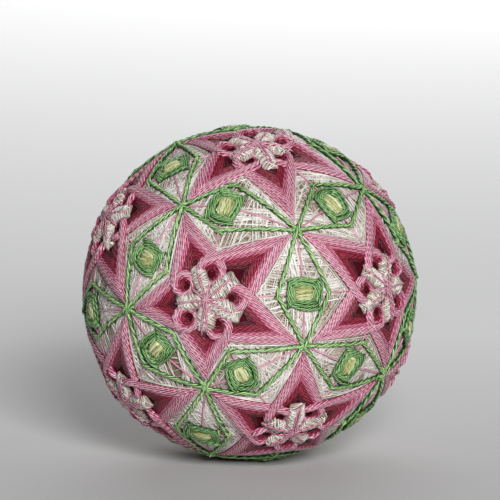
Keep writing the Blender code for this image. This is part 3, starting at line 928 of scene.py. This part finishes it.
def petal_stitch(station, reach, half, sides, slant, lift, rng):
    """Plane points and heights of one stitch across a petal, with the petal's line along X.

    With t from one side to the other, x = station + lean t and y = t * width(x), where lean is
    slant times half the petal's width, and less near its ends, so that no stitch runs past them.
    The height is edge + lift + dome * sqrt(1 - t^2), less at the petal's end, and both ends of
    the stitch tuck under.
    """
    room = max(0.0, min(station - 0.1 * MM, reach - station))
    lean = math.copysign(min(abs(slant) * half, room), slant)
    t = np.linspace(*sides, 7 if sides[1] - sides[0] > 1 else 4)
    x = station + lean * t
    y = t * petal_width(x / reach, half) * rng.uniform(0.93, 1.04)
    dome = PETAL_DOME * np.sqrt(np.clip(1 - t ** 2, 0, 1))
    height = PETAL_EDGE + lift + dome + rng.uniform(-0.04, 0.08) * MM
    height = height - np.interp(x / reach, [0.6, 0.85, 1.0], [0, 0.25, 1.15]) * MM
    height[[0, -1]] -= 0.2 * MM
    return np.stack([x, y], axis=1), height


def lay_petal(pile, patch, way, settings, rng):
    """One petal: a pad, stitches right across it, and short ones over them that lean the other way."""
    turned = turned_to(way)
    reach = settings.petal_length * rng.uniform(0.88, 1.08)
    half = settings.petal_width / 2 * rng.uniform(0.88, 1.08)
    along = np.linspace(0.04, 0.97, 8)
    flank = petal_width(along, half * 0.95)
    body = np.concatenate([np.stack([along * reach, -flank], axis=1),
                           np.stack([along * reach, flank], axis=1)[::-1]])
    middle = patch.directions([way * reach / 2])[0]
    petal_patch = Patch(middle, patch.directions([way * reach])[0])
    outline = np.array([petal_patch.plane(d) for d in patch.directions(body @ turned)])
    drop = np.interp(body[:, 0] / reach, [0.6, 0.85, 0.95], [0.1, 0.3, 0.8]) * MM
    heights = [PETAL_EDGE + PETAL_DOME * share - drop for share in (0, 0.72, 0.92)]
    pile.lay_pad(petal_patch, outline, (1.0, 0.75, 0.35), heights, PETAL_UNDER, 0.4, (2, 2, 2))
    slant = rng.choice([-1, 1]) * rng.uniform(0.15, 0.8)
    stations = np.arange(0.25 * MM, reach * 0.97, settings.stitch_pitch)
    stitches = [(station, (-1, 1), slant, 0.0, (0.1, 0.8)) for station in stations]
    for station in rng.uniform(0.12, 0.9, settings.short_stitches) * reach:
        begin = rng.uniform(-1, 0.35)
        sides = (begin, begin + rng.uniform(0.45, 0.65))
        stitches.append((station, sides, -slant * rng.uniform(0.3, 1.8), SHORT_STITCH_LIFT, (0.4, 1.0)))
    for station, sides, tilt, lift, tones in stitches:
        place = station + rng.uniform(-0.2, 0.2) * settings.stitch_pitch
        xy, height = petal_stitch(place, reach, half, sides, tilt * rng.uniform(0.8, 1.2), lift, rng)
        directions = patch.directions(xy @ turned)
        pile.lay_tube(over_ball(directions, height), directions, settings.stitch_width, 4, False,
                      rng.uniform(*tones), 0, start=rng.random() * 0.01)


def lay_spoke(pile, patch, way, reach, hand, settings, rng):
    """One pink spoke, from just behind the flower's middle out over a petal or between two."""
    share = np.linspace(-0.1, 1, 9)
    x = share * reach * rng.uniform(0.85, 1.0)
    y = (hand * 0.26 + rng.uniform(-0.35, 0.35) * share) * MM
    rises = CROWN + np.array([0, 0.25, 0.1, -0.1, -0.7]) * MM
    height = np.interp(share, [-0.1, 0, 0.15, 0.8, 1.0], rises)
    if reach == SHORT_SPOKE:
        height = height - np.interp(share, [0.3, 1.0], [0, 0.5]) * MM
    directions = patch.directions(np.stack([x, y], axis=1) @ turned_to(way))
    pile.lay_tube(over_ball(directions, height), directions, settings.spoke_width * rng.uniform(0.85, 1.15),
                  6, False, rng.uniform(0.35, 0.8), 1, start=rng.random() * 0.01)


def build_flower(number, settings):
    """One flower: five domed petals of slanting cream stitches with short ones over them, and pink spokes."""
    patch, tip_numbers, notch_numbers = star_layout(number)
    rng = np.random.default_rng(300 + number)
    pile = Pile()
    tip_ways = [unit(patch.plane(MARKS["crossing"][k])) for k in tip_numbers]
    notch_ways = [unit(patch.plane(MARKS["square"][k])) for k in notch_numbers]
    for way in tip_ways:
        lay_petal(pile, patch, way, settings, rng)
    spokes = [(way, settings.petal_length * 0.97, rng.random() < TWIN_CHANCE) for way in tip_ways]
    spokes += [(way, SHORT_SPOKE, False) for way in notch_ways]
    for way, reach, twin in spokes:
        for hand in ((-1, 1) if twin else (0,)):
            lay_spoke(pile, patch, way, reach, hand, settings, rng)
    materials = ["white", "light_pink", "petal_ground"]
    pile.make(f"flower_threads_{number + 1:02d}", materials, [f"flower_{number + 1:02d}"])


# The green diamonds

# A green line's usual height, how deep in the ball it turns back, and over how long it dives
GREEN_HEIGHT = 0.5 * MM
GREEN_INSIDE = -0.8 * MM
GREEN_DIVE = 0.9 * MM
# Lines of three heights meet at a crossing, and are back at the usual one this far from it
HUB_LIFT = 0.28 * MM
HUB_REACH = 2.5 * MM
GREEN_STEP = 0.3 * MM
GREEN_POINT_STEP = 0.38 * MM
GREEN_BEND = 0.6


def build_diamonds(settings):
    """All the green diamonds: closed two-ply threads that run past each corner, cross there and dive
    into the ball, to come out again on the other side of the corner."""
    pile = Pile()
    rng = np.random.default_rng(41)
    for number in range(30):
        crossings, stars = diamond_layout(number)
        middle = MARKS["square"][number]
        patch = Patch(middle, MARKS["crossing"][crossings[0]])
        corners = []
        for crossing, star in zip(crossings, stars):
            corners.append(patch.plane(MARKS["crossing"][crossing]))
            corners.append(patch.plane(along_arc(middle, MARKS["star"][star], settings.corner_arc)))
        lift = (number % 3) * HUB_LIFT
        stretches = []
        for k in range(4):
            start, end = corners[k], corners[(k + 1) % 4]
            ahead = unit(end - start)
            past = settings.overshoot * rng.uniform(0.7, 1.4, 2)
            past[k % 2] += settings.overshoot * 0.7
            hub_start, hub_end = (lift, 0.0) if k % 2 == 0 else (0.0, lift)
            stops = [(start - ahead * past[0], GREEN_INSIDE),
                     (start - ahead * (past[0] - GREEN_DIVE), GREEN_HEIGHT + hub_start - 0.1 * MM),
                     (start + ahead * HUB_REACH, GREEN_HEIGHT + hub_start * 0.3),
                     (end - ahead * HUB_REACH, GREEN_HEIGHT + hub_end * 0.3),
                     (end + ahead * (past[1] - GREEN_DIVE), GREEN_HEIGHT + hub_end + 0.15 * MM),
                     (end + ahead * past[1], GREEN_INSIDE)]
            stretches.append(line_through(stops, GREEN_STEP))
        path = eased_loop(np.concatenate(stretches), GREEN_POINT_STEP, GREEN_BEND)
        directions = patch.directions(path[:, :2])
        pile.lay_plies(over_ball(directions, path[:, 2]), directions, settings.thread_width, settings.pitch,
                       rng.uniform(0.35, 0.65))
    pile.make("diamond_threads", ["green"], ["diamond_lattice"])


# The squares

# How close the rows lie, as a share of their width, and how the yellow middle fills what they leave
ROW_PITCH = 0.68
MIDDLE_FILL = 0.75
YELLOW_WIDTH = 0.6 * MM
YELLOW_STRANDS = (7, 5)


def lay_green_side(pile, patch, start, end, base, settings, rng):
    """One side of one round of a square.

    Along it the line bows outwards by bow * sin(pi s), and drifts out by a chase share of its
    length, so the four sides chase each other round. It starts low and ends over the next side.
    """
    share = np.linspace(0, 1, 10)
    ahead = unit(end - start)
    away = np.array([ahead[1], -ahead[0]])
    back = rng.uniform(0.0, 0.25) * MM
    past = rng.uniform(0.2, 0.6) * MM
    span = np.linalg.norm(end - start) + back + past
    chase = settings.chase + rng.uniform(-0.03, 0.05)
    side = start - ahead * back + ahead * (share * span)[:, None]
    bow = (share - 0.5) * chase * span + settings.bow * rng.uniform(0.5, 1.4) * np.sin(share * math.pi)
    height = base + np.interp(share, [0, 0.12, 0.5, 0.86, 1], [-0.42, -0.1, 0.12, 0.36, -0.25]) * MM
    height = height + rng.uniform(-0.08, 0.1) * MM
    directions = patch.directions(side + away * bow[:, None])
    pile.lay_tube(over_ball(directions, height), directions, settings.thread_width * rng.uniform(0.9, 1.1),
                  6, False, rng.uniform(0.1, 0.9), 0, start=rng.uniform(0, 4) * MM)


def lay_yellow_middle(pile, patch, inner, rng):
    """Two layers of domed yellow strands across a rounded middle, the upper ones fewer and shorter."""
    along = np.linspace(-1, 1, 9)
    for layer, count in enumerate(YELLOW_STRANDS):
        for strand in range(count):
            offset = ((strand + 0.5) / count * 2 - 1) * inner[0] * (0.92 - 0.2 * layer)
            off_middle = (offset / inner[0]) ** 2
            chord = math.sqrt(max(0.08, 1 - off_middle)) * inner[1] * (1.05 - 0.2 * layer)
            bend = rng.uniform(-0.3, 0.3) * (1 - along ** 2) + rng.uniform(-0.3, 0.3) * along * layer
            dome = (0.5 + 0.3 * layer + 0.32 * (1 - along ** 2) * (1 - off_middle)) * MM
            drift = rng.uniform(-0.3, 0.3) * layer * MM
            directions = patch.directions(np.stack([offset + bend * MM, along * chord + drift], axis=1))
            pile.lay_tube(over_ball(directions, dome), directions, YELLOW_WIDTH, 6, False,
                          rng.uniform(0.1, 0.9), 1, start=rng.uniform(0, 4) * MM)


def build_square(number, settings):
    """One square: rounds of green thread, each side starting inside the last side and running out
    over the next one, round a domed yellow middle."""
    crossings, _ = diamond_layout(number)
    patch = Patch(MARKS["square"][number], MARKS["crossing"][crossings[0]])
    rng = np.random.default_rng(500 + number)
    pile = Pile()
    pitch = settings.thread_width * ROW_PITCH
    halves = np.array([settings.half_long, settings.half_wide]) * rng.uniform(0.94, 1.04)
    angle = np.arange(16) / 16 * TURN
    circle = np.stack([np.cos(angle), np.sin(angle)], axis=1)
    rounded = np.sign(circle) * np.abs(circle) ** 0.7
    pile.lay_pad(patch, rounded * (halves - 0.4 * MM), (1.0, 0.8, 0.5), (0.35 * MM, 0.5 * MM, 0.5 * MM),
                 PAD_UNDER, 0.1, (2, 2, 3))
    for row in range(settings.rows):
        out = halves - (settings.rows - 0.5 - row) * pitch - 0.15 * MM
        corners = out * np.array([[1, -1], [1, 1], [-1, 1], [-1, -1]])
        base = (0.62 + 0.1 * row - 0.12 * max(0, row - 1)) * MM
        for k in range(4):
            lay_green_side(pile, patch, corners[k], corners[(k + 1) % 4], base, settings, rng)
    lay_yellow_middle(pile, patch, halves - settings.rows * pitch * MIDDLE_FILL, rng)
    materials = ["square_green", "yellow", "square_ground", "yellow_ground"]
    pile.make(f"square_threads_{number + 1:02d}", materials, [f"square_{number + 1:02d}"])


# The operators, one for each group of pieces


class TEMARI_OT_ball(bpy.types.Operator):
    """Wind the ball with fine cream thread"""

    bl_idname = "temari.ball"
    bl_label = "Wound ball"

    def execute(self, context):
        build_ball(context.scene.temari_ball)
        return {"FINISHED"}


class TEMARI_OT_marking(bpy.types.Operator):
    """Lay the thin pink threads that mark the division"""

    bl_idname = "temari.marking"
    bl_label = "Marking threads"

    def execute(self, context):
        build_marking(context.scene.temari_ball)
        return {"FINISHED"}


class TEMARI_OT_stars(bpy.types.Operator):
    """Stitch the twelve pink stars"""

    bl_idname = "temari.stars"
    bl_label = "Stars"

    def execute(self, context):
        for number in range(12):
            build_star(number, context.scene.temari_star)
        return {"FINISHED"}


class TEMARI_OT_flowers(bpy.types.Operator):
    """Stitch the cream flowers in the stars' hollows"""

    bl_idname = "temari.flowers"
    bl_label = "Flowers"

    def execute(self, context):
        for number in range(12):
            build_flower(number, context.scene.temari_flower)
        return {"FINISHED"}


class TEMARI_OT_diamonds(bpy.types.Operator):
    """Lay the green diamonds"""

    bl_idname = "temari.diamonds"
    bl_label = "Green diamonds"

    def execute(self, context):
        build_diamonds(context.scene.temari_green)
        return {"FINISHED"}


class TEMARI_OT_squares(bpy.types.Operator):
    """Stitch the green squares with their yellow middles"""

    bl_idname = "temari.squares"
    bl_label = "Squares"

    def execute(self, context):
        for number in range(30):
            build_square(number, context.scene.temari_square)
        return {"FINISHED"}


# The stage

FLOOR_SIDE = 2.4
# Where, along Y, the floor begins to grow paler, and where it is palest: painted light behind the
# ball
PAINTED_LIGHT_FROM = -0.02
PAINTED_LIGHT_FULL_AT = 0.16
# How pale the camera sees the room
WALL_SHADE = 0.7

LIGHTS = (
    # name, the setting of its power, its place, its width and what it is aimed at
    ("key", "key_power", (0.2, -1.0, 0.46), 0.35, CENTRE),
    ("background light", "back_power", (0.0, 0.95, 0.6), 0.9, (0.0, 0.75, 0.0)),
    ("far fill", "fill_power", (0.25, 1.3, 0.2), 0.6, CENTRE),
)


def aim(thing, target):
    """Turn a light or camera so that its -Z looks at a point."""
    way = Vector(target) - thing.location
    thing.rotation_euler = way.to_track_quat("-Z", "Y").to_euler()


def soft_light(name, place, watts, side, target):
    """A square area light aimed at a target."""
    data = bpy.data.lights.new(name, "AREA")
    data.energy = watts
    data.size = side
    light = bpy.data.objects.new(name, data)
    light.location = place
    bpy.context.scene.collection.objects.link(light)
    aim(light, target)


def lay_floor(settings):
    """A matt paper floor whose colour grows paler behind the ball, as painted light."""
    bpy.ops.mesh.primitive_plane_add(size=FLOOR_SIDE, location=(0, 0, 0))
    floor = bpy.context.active_object
    floor.name = "floor"
    material, tree, shader = new_material("matt paper floor")
    shader.inputs["Roughness"].default_value = 0.95
    place = add_node(tree, "ShaderNodeTexCoord")
    split = add_node(tree, "ShaderNodeSeparateXYZ", Vector=place.outputs["Object"])
    behind = add_node(tree, "ShaderNodeMapRange", Value=split.outputs["Y"], From_Min=PAINTED_LIGHT_FROM,
                      From_Max=PAINTED_LIGHT_FULL_AT)
    colour = add_node(tree, "ShaderNodeMix", {"data_type": "RGBA"}, i0=behind.outputs[0],
                      i6=(*settings.floor_colour, 1), i7=(*settings.painted_light_far_colour, 1))
    tree.links.new(colour.outputs[2], shader.inputs["Base Color"])
    floor.data.materials.append(material)


def light_room(strength):
    """A room that the camera sees as pale, and that lights the ball only faintly."""
    world = bpy.data.worlds.new("pale room")
    world.use_nodes = True
    tree = world.node_tree
    faint = tree.nodes["Background"]
    faint.inputs["Color"].default_value = (0.94, 0.96, 1.0, 1)
    faint.inputs["Strength"].default_value = strength
    pale = add_node(tree, "ShaderNodeBackground", Color=(WALL_SHADE, WALL_SHADE, WALL_SHADE, 1))
    seen = add_node(tree, "ShaderNodeLightPath")
    room = add_node(tree, "ShaderNodeMixShader", i0=seen.outputs["Is Camera Ray"], i1=faint.outputs[0],
                    i2=pale.outputs[0])
    tree.links.new(room.outputs[0], tree.nodes["World Output"].inputs["Surface"])
    bpy.context.scene.world = world


def place_camera():
    """The photograph's camera. The outline is tangent to the ball, so its half angle is
    asin(radius / distance), and the target is shifted by what the outline's middle is off."""
    data = bpy.data.cameras.new("photo_camera")
    data.sensor_width = SENSOR
    half_angle = math.asin(OUTLINE_RADIUS / CAMERA_DISTANCE)
    data.lens = BALL_OUTLINE_RADIUS / math.tan(half_angle) / PHOTO_SIDE * SENSOR
    data.clip_start = 0.05
    camera = bpy.data.objects.new("photo_camera", data)
    metres_per_pixel = OUTLINE_RADIUS / BALL_OUTLINE_RADIUS
    across = (PHOTO_SIDE / 2 - BALL_MIDDLE_X) * metres_per_pixel
    rise = (BALL_MIDDLE_Y - PHOTO_SIDE / 2) * metres_per_pixel
    target = Vector(CENTRE) + Vector((across, 0, rise / math.cos(CAMERA_ELEVATION)))
    back = Vector((0, -math.cos(CAMERA_ELEVATION), math.sin(CAMERA_ELEVATION)))
    camera.location = target + back * CAMERA_DISTANCE
    bpy.context.scene.collection.objects.link(camera)
    aim(camera, target)
    bpy.context.scene.camera = camera


class TEMARI_OT_stage(bpy.types.Operator):
    """Set the floor, the soft lights and the camera"""

    bl_idname = "temari.stage"
    bl_label = "Stage"

    def execute(self, context):
        settings = context.scene.temari_stage
        lay_floor(settings)
        for name, setting, place, side, target in LIGHTS:
            soft_light(name, place, getattr(settings, setting), side, target)
        light_room(settings.room_light)
        context.scene.view_settings.view_transform = "Standard"
        place_camera()
        return {"FINISHED"}


class TEMARI_PT_panel(bpy.types.Panel):
    """Lists the settings, and the steps in the order that they are stitched"""

    bl_idname = "TEMARI_PT_panel"
    bl_label = "Temari ball"
    bl_space_type = "VIEW_3D"
    bl_region_type = "UI"
    bl_category = "Temari"

    def draw(self, context):
        for group in GROUPS:
            settings = getattr(context.scene, group)
            for prop in settings.bl_rna.properties:
                if prop.identifier not in ("rna_type", "name"):
                    self.layout.prop(settings, prop.identifier)
        for step in STEPS:
            self.layout.operator(step)


GROUPS = {
    "temari_ball": TemariBallProperties,
    "temari_star": TemariStarProperties,
    "temari_flower": TemariFlowerProperties,
    "temari_green": TemariGreenProperties,
    "temari_square": TemariSquareProperties,
    "temari_stage": TemariStageProperties,
}
OPERATORS = (TEMARI_OT_stage, TEMARI_OT_ball, TEMARI_OT_marking, TEMARI_OT_stars, TEMARI_OT_flowers,
             TEMARI_OT_diamonds, TEMARI_OT_squares)
STEPS = tuple(operator.bl_idname for operator in OPERATORS)


def register():
    """Register the settings, the steps and the panel."""
    for name, group in GROUPS.items():
        bpy.utils.register_class(group)
        setattr(bpy.types.Scene, name, PointerProperty(type=group))
    for operator in OPERATORS:
        bpy.utils.register_class(operator)
    bpy.utils.register_class(TEMARI_PT_panel)


def unregister():
    """Take them away again."""
    bpy.utils.unregister_class(TEMARI_PT_panel)
    for operator in reversed(OPERATORS):
        bpy.utils.unregister_class(operator)
    for name, group in GROUPS.items():
        delattr(bpy.types.Scene, name)
        bpy.utils.unregister_class(group)


def main():
    """Make every piece."""
    register()
    for step in STEPS:
        group, name = step.split(".")
        getattr(getattr(bpy.ops, group), name)()


if __name__ == "__main__":
    main()
